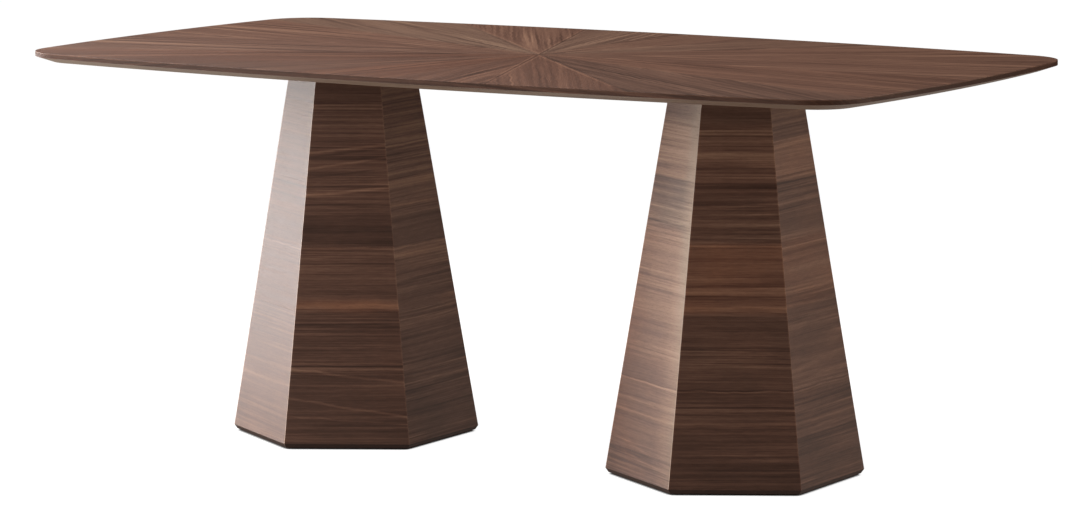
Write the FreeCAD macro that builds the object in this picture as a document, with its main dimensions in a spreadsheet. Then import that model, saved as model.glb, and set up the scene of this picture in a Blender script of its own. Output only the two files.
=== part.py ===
import FreeCAD, Part
import Sketcher
import math
import os

# Dining table: a bowed veneered top on two tapered hexagonal pedestals.
# Frame: millimetres, +Z up, X along the table, Y across it, the front is -Y.
# The origin is on the floor, midway between the two pedestals.

os.makedirs("parts", exist_ok=True)
doc = FreeCAD.newDocument("dining_table")

# Driving sizes
SIZES = [
    # the top
    ("table_length", "1800", "over the middle of the bowed ends"),
    ("table_width", "1000", "over the middle of the bowed sides"),
    ("table_height", "750", "floor to the face of the top, feet screwed in"),
    ("top_thickness", "20", "face veneer, board and backing together"),
    ("veneer_thickness", "0.8", "all face and backing veneers"),
    ("veneer_joint", "0.1", "glue joint between two veneer leaves"),
    ("sunburst_leaves", "16", "leaves round the centre of the top"),
    ("corner_radius", "100", "rounded corners of the top"),
    ("end_bow", "18", "crest of a bowed end over its corner arcs"),
    ("side_bow", "47", "crest of a bowed side over its corner arcs"),
    ("bevel_width", "33", "bevel under the rim, measured level"),
    ("bevel_height", "11", "bevel under the rim, measured upright"),
    ("lipping_flat", "5", "solid wood between the bevel and the board"),
    # the pedestals
    ("pedestal_spacing", "844", "between the two pedestal axes"),
    ("foot_from_face", "41.5", "outermost foot axis to the pedestal face, at the floor"),
    ("pedestal_neck_width", "201", "across the flats, under the top"),
    ("panel_thickness", "17.2", "board of one side, square to its face"),
    ("left_first_leaf", "110", "topmost veneer leaf, left pedestal"),
    ("left_leaf_width", "122", "other veneer leaves, left pedestal"),
    ("right_first_leaf", "168", "topmost veneer leaf, right pedestal"),
    ("right_leaf_width", "128", "other veneer leaves, right pedestal"),
    ("least_leaf", "20", "the lowest leaf is at least this wide"),
    ("glue_line", "0.1", "between inner plates and the panels"),
    ("spline_width", "10", "loose tongue in the mitre, both sides"),
    ("spline_thickness", "4", "loose tongue, measured level"),
    ("spline_play", "0.1", "groove wall to tongue"),
    ("spline_stop", "12", "tongue ends short of the panel ends"),
    # the plates inside a pedestal
    ("floor_gap", "3", "underside of the base plate to the floor"),
    ("plinth_height", "11", "lower edge of the panels above the floor"),
    ("plinth_setback", "5", "bevelled rim of the base plate"),
    ("boss_height", "17", "part of the base plate inside the panels"),
    ("former_level", "368", "underside of the middle former"),
    ("former_thickness", "18", "middle former"),
    ("former_hole", "140", "diameter of the hole in the former"),
    ("block_thickness", "30", "wooden block in the neck"),
    # the fixing of the top
    ("plate_margin", "27", "bolt axis to the edge of the steel plate"),
    ("plate_thickness", "5", "steel plate"),
    ("plate_play", "0.2", "recess wall to plate"),
    ("bolt_from_face", "31.5", "bolt axis to the pedestal face, outside it"),
    ("bolt_diameter", "8", "bolts up into the top"),
    ("bolt_head_diameter", "16", "countersunk head"),
    ("bolt_head_depth", "4", "countersunk head"),
    ("bolt_length", "13", "over the head"),
    ("insert_diameter", "12", "threaded insert in the board"),
    ("insert_length", "9", "threaded insert in the board"),
    ("screw_from_face", "41.5", "block screw axis to the pedestal face, inside it"),
    ("screw_diameter", "6", "screws down into the block"),
    ("screw_head_diameter", "12", "countersunk head"),
    ("screw_head_depth", "3", "countersunk head"),
    ("screw_length", "32", "over the head"),
    ("fastener_play", "0.1", "hole wall to bolt, screw or insert"),
    # the levelling feet
    ("foot_spacing_across", "380", "front foot to back foot"),
    ("foot_spacing_along", "330", "outer foot to inner foot"),
    ("foot_travel", "10", "how far a foot screws out"),
    ("recess_play", "1", "counterbore wall to the pad"),
    ("foot_insert_diameter", "14", "threaded sleeve over a foot"),
    ("pad_diameter", "36", "nylon pad"),
    ("pad_thickness", "5", "nylon pad"),
    ("pad_edge", "1", "eased edge of the pad"),
    ("hub_diameter", "20", "raised middle of the pad"),
    ("hub_height", "8.5", "raised middle of the pad, from the floor"),
    ("swivel_diameter", "12", "flanged end of the screw, held in the pad"),
    ("swivel_thickness", "3", "flanged end of the screw"),
    ("swivel_level", "2", "floor of its seat in the pad"),
    ("swivel_play", "0.08", "seat wall to flanged end and neck"),
    ("key_hole_diameter", "5", "hole through the pad for the key"),
    ("key_width", "4", "hexagon socket in the flanged end, across flats"),
    ("key_depth", "4", "hexagon socket in the flanged end"),
    ("neck_diameter", "8", "between flanged end and collar"),
    ("collar_width", "17", "hexagon collar, across the flats"),
    ("collar_height", "4", "hexagon collar"),
    ("collar_gap", "2.3", "hub of the pad to the collar"),
    ("stop_gap", "0.3", "collar to sleeve when screwed right in"),
    ("stem_diameter", "10", "threaded stem"),
    ("stem_play", "0.05", "sleeve wall to stem"),
    ("stem_spare", "6", "stem above its sleeve, screwed right out"),
]

sheet = doc.addObject("Spreadsheet::Sheet", "Sizes")
for row, (alias, value, meaning) in enumerate(SIZES, start=1):
    sheet.set("A%d" % row, alias)
    sheet.set("B%d" % row, value)
    sheet.set("C%d" % row, meaning)
    sheet.setAlias("B%d" % row, alias)
doc.recompute()

# Levels and sizes that follow from the driving sizes
HEIGHT = "Sizes.table_height"
UNDERSIDE = "(Sizes.table_height - Sizes.top_thickness)"
BOARD_TOP = "(Sizes.table_height - Sizes.veneer_thickness)"
BOARD_BOTTOM = "(%s + Sizes.veneer_thickness)" % UNDERSIDE
PLATE_TOP = "(%s + Sizes.plate_thickness)" % UNDERSIDE
RECESS_TOP = "(%s + Sizes.plate_play)" % PLATE_TOP
BASE_TOP = "(Sizes.plinth_height + Sizes.boss_height)"
BLOCK_BOTTOM = "(%s - Sizes.block_thickness)" % UNDERSIDE
FORMER_TOP = "(Sizes.former_level + Sizes.former_thickness)"
SPLINE_BOTTOM = "(Sizes.plinth_height + Sizes.spline_stop)"
SPLINE_TOP = "(%s - Sizes.spline_stop)" % UNDERSIDE
COLLAR_BOTTOM = "(Sizes.hub_height + Sizes.collar_gap)"
COLLAR_TOP = "(%s + Sizes.collar_height)" % COLLAR_BOTTOM
SLEEVE_BOTTOM = "(%s + Sizes.stop_gap)" % COLLAR_TOP
STEM_TOP = "(%s + Sizes.foot_travel + Sizes.stem_spare)" % BASE_TOP
FOOT_REACH = "max(Sizes.foot_spacing_along / 2; Sizes.foot_spacing_across / 2 * cos(30 deg))"
FOOT_WIDTH = "(2 * (%s + Sizes.foot_from_face))" % FOOT_REACH
SLOPE = "((%s - Sizes.pedestal_neck_width) / 2 / %s)" % (FOOT_WIDTH, UNDERSIDE)
SLANT = "sqrt(1 + %s * %s)" % (SLOPE, SLOPE)
SKIN = "Sizes.veneer_thickness"
INNER = "(Sizes.veneer_thickness + Sizes.panel_thickness)"
INNER_GLUED = "(%s + Sizes.glue_line)" % INNER
MID_PANEL = "(Sizes.veneer_thickness + Sizes.panel_thickness / 2)"
LIPPING = "(Sizes.bevel_width + Sizes.lipping_flat)"
BOLT_CIRCLE = "(Sizes.pedestal_neck_width + 2 * Sizes.bolt_from_face)"
SCREW_CIRCLE = "(Sizes.pedestal_neck_width - 2 * Sizes.screw_from_face)"
PLATE_WIDTH = "(%s + 2 * Sizes.plate_margin)" % BOLT_CIRCLE

# Corners of the top: centre of the arc, and the radii of the bowed edges
FROM_END = "(Sizes.corner_radius + Sizes.end_bow)"
FROM_SIDE = "(Sizes.corner_radius + Sizes.side_bow)"
CORNER_X = "(Sizes.table_length / 2 - %s)" % FROM_END
CORNER_Y = "(Sizes.table_width / 2 - %s)" % FROM_SIDE


def bow_radius(reach, offset, bow):
    # radius of a bowed edge that is tangent to both of its corner arcs
    over = "%s * %s + %s * %s - Sizes.corner_radius * Sizes.corner_radius" % (
        reach, reach, offset, offset)
    return "((%s) / 2 / %s)" % (over, bow)


SIDE_RADIUS = bow_radius(CORNER_X, FROM_SIDE, "Sizes.side_bow")
END_RADIUS = bow_radius(CORNER_Y, FROM_END, "Sizes.end_bow")


def arc_radius(inset):
    return "(Sizes.corner_radius - %s)" % inset


def side_tangent(inset):
    # where a corner arc runs into the bowed side
    x = "%s * %s / (%s - Sizes.corner_radius)" % (arc_radius(inset), CORNER_X, SIDE_RADIUS)
    y = "%s * (%s - %s) / (%s - Sizes.corner_radius)" % (
        arc_radius(inset), SIDE_RADIUS, FROM_SIDE, SIDE_RADIUS)
    return "(%s + %s)" % (CORNER_X, x), "(%s + %s)" % (CORNER_Y, y)


def end_tangent(inset):
    # where a corner arc runs into the bowed end
    x = "%s * (%s - %s) / (%s - Sizes.corner_radius)" % (
        arc_radius(inset), END_RADIUS, FROM_END, END_RADIUS)
    y = "%s * %s / (%s - Sizes.corner_radius)" % (arc_radius(inset), CORNER_Y, END_RADIUS)
    return "(%s + %s)" % (CORNER_X, x), "(%s + %s)" % (CORNER_Y, y)


def mitre_tip(inset):
    x = "(%s + %s * cos(45 deg))" % (CORNER_X, arc_radius(inset))
    y = "(%s + %s * sin(45 deg))" % (CORNER_Y, arc_radius(inset))
    return x, y


def side_arc(sign, inset):
    centre = "%s(Sizes.table_width / 2 - %s)" % (sign, SIDE_RADIUS)
    return "0", centre, "(%s - %s)" % (SIDE_RADIUS, inset)


def end_arc(sign, inset):
    centre = "%s(Sizes.table_length / 2 - %s)" % (sign, END_RADIUS)
    return centre, "0", "(%s - %s)" % (END_RADIUS, inset)


def corner_arc(x_sign, y_sign, inset):
    return x_sign + CORNER_X, y_sign + CORNER_Y, arc_radius(inset)


def signed(x_sign, y_sign, point):
    return x_sign + point[0], y_sign + point[1]


def apothem(level, inset):
    # half the width across the flats at a level, inside the outer face
    return "(%s / 2 - %s * %s - %s * %s)" % (FOOT_WIDTH, SLOPE, level, inset, SLANT)


# Sketching
VECTOR = FreeCAD.Vector
ORIGIN = VECTOR(0, 0, 0)
UP = VECTOR(0, 0, 1)


def new_body(label):
    body = doc.addObject("PartDesign::Body", label)
    body.Label = label
    return body


def new_sketch(body, plane, level=None, turn=0, reach=None):
    sketch = body.newObject("Sketcher::SketchObject", body.Label + "_sketch")
    planes = {item.Role: item for item in body.Origin.OriginFeatures}
    sketch.AttachmentSupport = [(planes[plane], "")]
    sketch.MapMode = "FlatFace"
    if turn:
        spin = FreeCAD.Rotation(VECTOR(0, 1, 0), turn)
        sketch.AttachmentOffset = FreeCAD.Placement(ORIGIN, spin)
    if level is not None:
        sketch.setExpression(".AttachmentOffset.Base.z", level)
    if reach is not None:
        sketch.setExpression(".AttachmentOffset.Base.x", reach)
    return sketch


def number(sketch, text):
    return float(sketch.evalExpression(text))


def drive(sketch, kind, items, text):
    index = sketch.addConstraint(Sketcher.Constraint(kind, *items, number(sketch, text)))
    sketch.setExpression("Constraints[%d]" % index, text)


def place_point(sketch, line, end, x, y):
    drive(sketch, "DistanceX", (-1, 1, line, end), x)
    drive(sketch, "DistanceY", (-1, 1, line, end), y)


def polygon(sketch, corners, arcs=None):
    # closed outline through the corners; arcs gives centre and radius of an edge
    arcs = arcs or {}
    spots = [VECTOR(number(sketch, x), number(sketch, y), 0) for x, y in corners]
    first = sketch.GeometryCount
    count = len(corners)
    starts = []
    ends = []
    for k in range(count):
        here = spots[k]
        there = spots[(k + 1) % count]
        edge = Part.LineSegment(here, there)
        clockwise = False
        if k in arcs:
            x, y, radius = arcs[k]
            centre = VECTOR(number(sketch, x), number(sketch, y), 0)
            circle = Part.Circle(centre, UP, number(sketch, radius))
            clockwise = (here - centre).cross(there - centre).z < 0
            a = circle.parameter(there if clockwise else here)
            b = circle.parameter(here if clockwise else there)
            edge = Part.ArcOfCircle(circle, a, b)
        sketch.addGeometry(edge, False)
        starts.append(2 if clockwise else 1)
        ends.append(1 if clockwise else 2)
    for k in range(count):
        after = (k + 1) % count
        sketch.addConstraint(Sketcher.Constraint(
            "Coincident", first + k, ends[k], first + after, starts[after]))
    for k in range(count):
        place_point(sketch, first + k, starts[k], *corners[k])
    for k in arcs:
        drive(sketch, "Radius", (first + k,), arcs[k][2])


def circle_at(sketch, x, y, radius):
    centre = VECTOR(number(sketch, x), number(sketch, y), 0)
    edge = sketch.addGeometry(Part.Circle(centre, UP, number(sketch, radius)), False)
    place_point(sketch, edge, 3, x, y)
    drive(sketch, "Radius", (edge,), radius)


def hexagon(sketch, half_width, x="0"):
    # regular hexagon with two corners on its Y axis
    corners = []
    for k in range(6):
        angle = "%d deg" % (30 + 60 * k)
        radius = "%s / cos(30 deg)" % half_width
        corners.append((
            "%s + %s * cos(%s)" % (x, radius, angle),
            "%s * sin(%s)" % (radius, angle)))
    polygon(sketch, corners)


# Features
def pad(body, sketch, length, both=False):
    feature = body.newObject("PartDesign::Pad", body.Label + "_pad")
    feature.Profile = sketch
    feature.SideType = "Symmetric" if both else "One side"
    feature.setExpression("Length", length)
    return feature


def pocket(body, sketch, length, both=False):
    # cuts upward from a level sketch, or both ways from an upright one
    feature = body.newObject("PartDesign::Pocket", body.Label + "_pocket")
    feature.Profile = sketch
    feature.SideType = "Symmetric" if both else "One side"
    feature.Reversed = not both
    feature.setExpression("Length", length)
    return feature


def turned(body, sketch, kind="Revolution"):
    feature = body.newObject("PartDesign::" + kind, body.Label + "_turned")
    feature.Profile = sketch
    feature.ReferenceAxis = (sketch, ["V_Axis"])
    feature.Angle = 360
    return feature


def pattern(body, originals, count):
    # repeats some features round the Z axis, or the whole body where none is given
    doc.recompute()
    feature = body.newObject("PartDesign::PolarPattern", body.Label + "_round")
    if originals:
        feature.Originals = originals
    else:
        feature.TransformMode = "Whole shape"
    axes = {item.Role: item for item in body.Origin.OriginFeatures}
    feature.Axis = (axes["Z_Axis"], [""])
    feature.Angle = 360
    feature.setExpression("Occurrences", count)
    body.Tip = feature
    return feature


def mitre(body, back_off="0"):
    # keeps the sixth of a hexagon that faces +X, down to its two mitre planes
    far = FOOT_WIDTH
    for sign in ("", "-"):
        sketch = new_sketch(body, "XY_Plane")
        near = "%s(0 - %s / cos(30 deg))" % (sign, back_off)
        outer = "%s(%s * tan(30 deg) - %s / cos(30 deg))" % (sign, far, back_off)
        polygon(sketch, [("0", near), (far, outer), (far, sign + far), ("0", sign + far)])
        pocket(body, sketch, HEIGHT)


def hexagonal(body, profile):
    # a hexagonal plate; the profile is its half section, from the axis out
    sketch = new_sketch(body, "XZ_Plane")
    polygon(sketch, profile)
    pad(body, sketch, FOOT_WIDTH, both=True)
    mitre(body)
    pattern(body, None, "6")


def stand(body, x, y="0", turn=0):
    body.Placement = FreeCAD.Placement(ORIGIN, FreeCAD.Rotation(UP, turn))
    body.setExpression(".Placement.Base.x", x)
    body.setExpression(".Placement.Base.y", y)


def outline(body, level, inset):
    # plan of the top: four bowed edges, tangent to four round corners
    sketch = new_sketch(body, "XY_Plane", level)
    end = end_tangent(inset)
    side = side_tangent(inset)
    corners = [
        signed("", "", end), signed("", "", side),
        signed("-", "", side), signed("-", "", end),
        signed("-", "-", end), signed("-", "-", side),
        signed("", "-", side), signed("", "-", end)]
    arcs = {
        0: corner_arc("", "", inset), 1: side_arc("", inset),
        2: corner_arc("-", "", inset), 3: end_arc("-", inset),
        4: corner_arc("-", "-", inset), 5: side_arc("-", inset),
        6: corner_arc("", "-", inset), 7: end_arc("", inset)}
    polygon(sketch, corners, arcs)
    return sketch


PEDESTALS = (
    ("left", "-Sizes.pedestal_spacing / 2", "Sizes.left_first_leaf", "Sizes.left_leaf_width"),
    ("right", "Sizes.pedestal_spacing / 2", "Sizes.right_first_leaf", "Sizes.right_leaf_width"))

# Board of the top, with the recesses and insert holes for the two plates
core = new_body("top_core")
core_plan = outline(core, BOARD_BOTTOM, LIPPING)
pad(core, core_plan, "%s - %s" % (BOARD_TOP, BOARD_BOTTOM))
for side, centre, first_leaf, leaf_width in PEDESTALS:
    recess = new_sketch(core, "XY_Plane", BOARD_BOTTOM)
    hexagon(recess, "(%s / 2 + Sizes.plate_play)" % PLATE_WIDTH, centre)
    pocket(core, recess, "%s - %s" % (RECESS_TOP, BOARD_BOTTOM))
    holes = new_sketch(core, "XY_Plane", RECESS_TOP)
    for k in range(6):
        hole_x = "%s + %s / 2 * cos(%d deg)" % (centre, BOLT_CIRCLE, 60 * k)
        hole_y = "%s / 2 * sin(%d deg)" % (BOLT_CIRCLE, 60 * k)
        circle_at(holes, hole_x, hole_y, "(Sizes.insert_diameter / 2 + Sizes.fastener_play)")
    pocket(core, holes, "Sizes.insert_length")

# Sunburst face veneer: equal leaves that meet in the middle of the top
sunburst = new_body("sunburst_veneer")
pad(sunburst, outline(sunburst, BOARD_TOP, "0"), SKIN)
for k in range(int(sheet.get("sunburst_leaves")) // 2):
    joint = new_sketch(sunburst, "XY_Plane", BOARD_TOP)
    angle = "(%d * 360 deg / Sizes.sunburst_leaves)" % k
    corners = []
    for along, across in (("-", "-"), ("", "-"), ("", ""), ("-", "")):
        run = along + "Sizes.table_length"
        shift = across + "(Sizes.veneer_joint / 2)"
        corners.append((
            "%s * cos(%s) - %s * sin(%s)" % (run, angle, shift, angle),
            "%s * sin(%s) + %s * cos(%s)" % (run, angle, shift, angle)))
    polygon(joint, corners)
    pocket(sunburst, joint, SKIN)

# Backing veneer under the board, cut out round the two plates
backing = new_body("backing_veneer")
pad(backing, outline(backing, UNDERSIDE, LIPPING), SKIN)
for side, centre, first_leaf, leaf_width in PEDESTALS:
    cut_out = new_sketch(backing, "XY_Plane", UNDERSIDE)
    hexagon(cut_out, "(%s / 2 + Sizes.plate_play)" % PLATE_WIDTH, centre)
    pocket(backing, cut_out, SKIN)


def lipping(label, sketch_corners, sketch_arcs):
    # solid wood round the board, mitred at its ends, with the wide bevel below
    body = new_body(label)
    sketch = new_sketch(body, "XY_Plane", UNDERSIDE)
    polygon(sketch, sketch_corners, sketch_arcs)
    blank = pad(body, sketch, "%s - %s" % (BOARD_TOP, UNDERSIDE))
    doc.recompute()
    half_way = blank.Shape.BoundBox.Center.z
    low = []
    for k, edge in enumerate(blank.Shape.Edges, start=1):
        if edge.BoundBox.ZMax < half_way and edge.Curve.TypeId == "Part::GeomCircle":
            low.append((k, edge.Curve))
    rim = []
    for k, curve in low:
        wider = [other for j, other in low if other.Radius > curve.Radius and
                 (other.Center - curve.Center).Length < (other.Radius - curve.Radius) / 2]
        if not wider:
            rim.append("Edge%d" % k)
    bevel = body.newObject("PartDesign::Chamfer", label + "_bevel")
    bevel.Base = (blank, rim)
    bevel.ChamferType = "Two distances"
    bevel.setExpression("Size", "Sizes.bevel_height")
    bevel.setExpression("Size2", "Sizes.bevel_width")


for label, sign in (("back_lipping", ""), ("front_lipping", "-")):
    lipping(label, [
        signed("", sign, mitre_tip("0")), signed("", sign, side_tangent("0")),
        signed("-", sign, side_tangent("0")), signed("-", sign, mitre_tip("0")),
        signed("-", sign, mitre_tip(LIPPING)), signed("-", sign, side_tangent(LIPPING)),
        signed("", sign, side_tangent(LIPPING)), signed("", sign, mitre_tip(LIPPING))], {
        0: corner_arc("", sign, "0"), 1: side_arc(sign, "0"), 2: corner_arc("-", sign, "0"),
        4: corner_arc("-", sign, LIPPING), 5: side_arc(sign, LIPPING), 6: corner_arc("", sign, LIPPING)})
for label, sign in (("right_lipping", ""), ("left_lipping", "-")):
    lipping(label, [
        signed(sign, "", mitre_tip("0")), signed(sign, "", end_tangent("0")),
        signed(sign, "-", end_tangent("0")), signed(sign, "-", mitre_tip("0")),
        signed(sign, "-", mitre_tip(LIPPING)), signed(sign, "-", end_tangent(LIPPING)),
        signed(sign, "", end_tangent(LIPPING)), signed(sign, "", mitre_tip(LIPPING))], {
        0: corner_arc(sign, "", "0"), 1: end_arc(sign, "0"), 2: corner_arc(sign, "-", "0"),
        4: corner_arc(sign, "-", LIPPING), 5: end_arc(sign, LIPPING), 6: corner_arc(sign, "", LIPPING)})


def headed(play, head, head_depth, shank, length, level, upward):
    # half section of a countersunk bolt or screw, or of its hole
    sign = "+" if upward else "-"
    reach = "(%s %s %s)" % (level, sign, length)
    cone = "(%s %s %s)" % (level, sign, head_depth)
    return [
        ("0", level), ("(%s / 2 + %s)" % (head, play), level),
        ("(%s / 2 + %s)" % (shank, play), cone),
        ("(%s / 2 + %s)" % (shank, play), reach), ("0", reach)]


def bolt_section(play):
    return headed(play, "Sizes.bolt_head_diameter", "Sizes.bolt_head_depth",
                  "Sizes.bolt_diameter", "Sizes.bolt_length", UNDERSIDE, True)


def screw_section(play):
    return headed(play, "Sizes.screw_head_diameter", "Sizes.screw_head_depth",
                  "Sizes.screw_diameter", "Sizes.screw_length", PLATE_TOP, False)


def ring_of_holes(body, circle, section):
    sketch = new_sketch(body, "XZ_Plane", reach="%s / 2" % circle)
    polygon(sketch, section)
    hole = turned(body, sketch, "Groove")
    pattern(body, [hole], "6")


def ring_of_fasteners(label, circle, section, centre):
    body = new_body(label)
    sketch = new_sketch(body, "XZ_Plane", reach="%s / 2" % circle)
    polygon(sketch, section)
    turned(body, sketch)
    pattern(body, None, "6")
    stand(body, centre)


def spline_section(play):
    # strip along the mitre, seen in the mitre plane: distance from the axis, level
    half = "(Sizes.spline_thickness / 2 + %s)" % play
    low = "(%s - %s)" % (SPLINE_BOTTOM, play)
    high = "(%s + %s)" % (SPLINE_TOP, play)
    section = []
    for level, side in ((low, "-"), (low, "+"), (high, "+"), (high, "-")):
        section.append(("%s / cos(30 deg) %s %s" % (apothem(level, MID_PANEL), side, half), level))
    return section


def panel(label, centre, turn):
    # one tapered side board with its two grooved mitres
    body = new_body(label)
    sketch = new_sketch(body, "XZ_Plane")
    low = "Sizes.plinth_height"
    polygon(sketch, [
        (apothem(low, INNER), low), (apothem(low, SKIN), low),
        (apothem(UNDERSIDE, SKIN), UNDERSIDE), (apothem(UNDERSIDE, INNER), UNDERSIDE)])
    pad(body, sketch, FOOT_WIDTH, both=True)
    mitre(body)
    for angle in (30, -30):
        groove = new_sketch(body, "XZ_Plane", turn=angle)
        polygon(groove, spline_section("Sizes.spline_play"))
        pocket(body, groove, "(Sizes.spline_width + 2 * Sizes.spline_play)", both=True)
    stand(body, centre, turn=turn)


def face_veneers(label, centre, first_leaf, leaf_width):
    # stacked leaves on all six faces; their joints run level round the pedestal
    body = new_body(label)
    sketch = new_sketch(body, "XZ_Plane")
    low = "Sizes.plinth_height"
    level = UNDERSIDE
    run = "((%s - %s) * %s - %s - Sizes.least_leaf)" % (UNDERSIDE, low, SLANT, first_leaf)
    last = math.ceil(number(sketch, "%s / %s" % (run, leaf_width)))
    for k in range(last + 1):
        below = "(%s - (%s + %d * %s) / %s)" % (UNDERSIDE, first_leaf, k, leaf_width, SLANT)
        bottom = low if k == last else "(%s + Sizes.veneer_joint)" % below
        polygon(sketch, [
            (apothem(bottom, SKIN), bottom), (apothem(bottom, "0"), bottom),
            (apothem(level, "0"), level), (apothem(level, SKIN), level)])
        level = below
    pad(body, sketch, FOOT_WIDTH, both=True)
    mitre(body, "(Sizes.veneer_joint / 2)")
    pattern(body, None, "6")
    stand(body, centre)


def base_plate(label, centre):
    # rebated plate: bevelled rim under the panels, boss inside them
    body = new_body(label)
    hexagonal(body, [
        ("0", "Sizes.floor_gap"),
        ("%s - Sizes.plinth_setback" % apothem("Sizes.plinth_height", "0"), "Sizes.floor_gap"),
        (apothem("Sizes.plinth_height", "0"), "Sizes.plinth_height"),
        (apothem("Sizes.plinth_height", INNER_GLUED), "Sizes.plinth_height"),
        (apothem(BASE_TOP, INNER_GLUED), BASE_TOP),
        ("0", BASE_TOP)])
    spots = (
        ("Sizes.foot_spacing_along / 2", "0"), ("-Sizes.foot_spacing_along / 2", "0"),
        ("0", "Sizes.foot_spacing_across / 2"), ("0", "-Sizes.foot_spacing_across / 2"))
    recesses = new_sketch(body, "XY_Plane", "Sizes.floor_gap")
    sleeves = new_sketch(body, "XY_Plane", SLEEVE_BOTTOM)
    for x, y in spots:
        circle_at(recesses, x, y, "(Sizes.pad_diameter / 2 + Sizes.recess_play)")
        circle_at(sleeves, x, y, "(Sizes.foot_insert_diameter / 2 + Sizes.fastener_play)")
    pocket(body, recesses, "%s - Sizes.floor_gap" % SLEEVE_BOTTOM)
    pocket(body, sleeves, "%s - %s" % (BASE_TOP, SLEEVE_BOTTOM))
    stand(body, centre)


def foot(name, x, y):
    # nylon pad snapped over the flanged end of a screw, which turns in it
    nylon = new_body(name + "_pad")
    section = new_sketch(nylon, "XZ_Plane")
    key_hole = "(Sizes.key_hole_diameter / 2)"
    rim = "(Sizes.pad_diameter / 2)"
    hub = "(Sizes.hub_diameter / 2)"
    seat = "(Sizes.swivel_diameter / 2 + Sizes.swivel_play)"
    mouth = "(Sizes.neck_diameter / 2 + Sizes.swivel_play)"
    low = "(Sizes.swivel_level + Sizes.swivel_play)"
    high = "(%s + Sizes.swivel_thickness)" % low
    seat_top = "(%s + Sizes.swivel_play)" % high
    polygon(section, [
        (key_hole, "0"), ("(%s - Sizes.pad_edge)" % rim, "0"), (rim, "Sizes.pad_edge"),
        (rim, "Sizes.pad_thickness"), (hub, "Sizes.pad_thickness"), (hub, "Sizes.hub_height"),
        (mouth, "Sizes.hub_height"), (mouth, seat_top), (seat, seat_top),
        (seat, "Sizes.swivel_level"), (key_hole, "Sizes.swivel_level")])
    turned(nylon, section)
    stand(nylon, x, y)

    screw = new_body(name + "_screw")
    section = new_sketch(screw, "XZ_Plane")
    flange = "(Sizes.swivel_diameter / 2)"
    neck = "(Sizes.neck_diameter / 2)"
    stem = "(Sizes.stem_diameter / 2)"
    polygon(section, [
        ("0", low), (flange, low), (flange, high), (neck, high), (neck, COLLAR_TOP),
        (stem, COLLAR_TOP), (stem, STEM_TOP), ("0", STEM_TOP)])
    turned(screw, section)
    collar = new_sketch(screw, "XY_Plane", COLLAR_BOTTOM)
    hexagon(collar, "(Sizes.collar_width / 2)")
    pad(screw, collar, "Sizes.collar_height")
    key = new_sketch(screw, "XY_Plane", low)
    hexagon(key, "(Sizes.key_width / 2)")
    pocket(screw, key, "Sizes.key_depth")
    stand(screw, x, y)


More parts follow.
